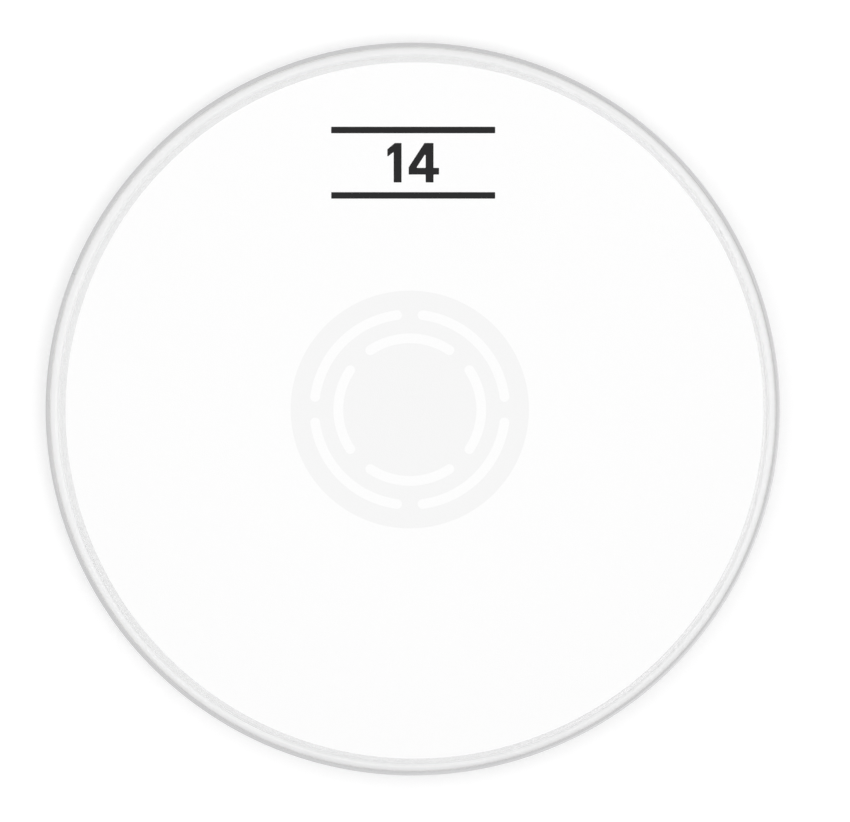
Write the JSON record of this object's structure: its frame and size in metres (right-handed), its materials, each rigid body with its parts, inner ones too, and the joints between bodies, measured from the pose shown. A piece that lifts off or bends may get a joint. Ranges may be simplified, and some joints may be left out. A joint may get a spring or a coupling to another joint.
{
  "type": "drum head",
  "caption": "Layered film drum head with a white coated face and a vented dot beneath, its clear collar potted in a rolled aluminium hoop that fits over a drum shell.",
  "frame": {"origin": "centre of the hoop's lower face, the plane that the head rests on", "axes": "+Z along the head's axis, out of the playing face; +Y towards the top of the picture"},
  "size_m": [0.365, 0.365, 0.0215],
  "materials": {
    "hoop_metal": "satin, rolled along the hoop",
    "resin": "cured, milky",
    "film": "clear polyester film, glossy",
    "white_coat": "sprayed, matt, fine tooth",
    "dot_film": "translucent film, satin",
    "adhesive": "clear transfer adhesive"
  },
  "bodies": {
    "root": {"flesh_hoop": "hoop_metal", "resin_lock": "resin", "top_ply": "film", "bottom_ply": "film", "coating": "white_coat", "reverse_dot": "dot_film", "dot_adhesive": "adhesive"}
  },
  "joints": []
}
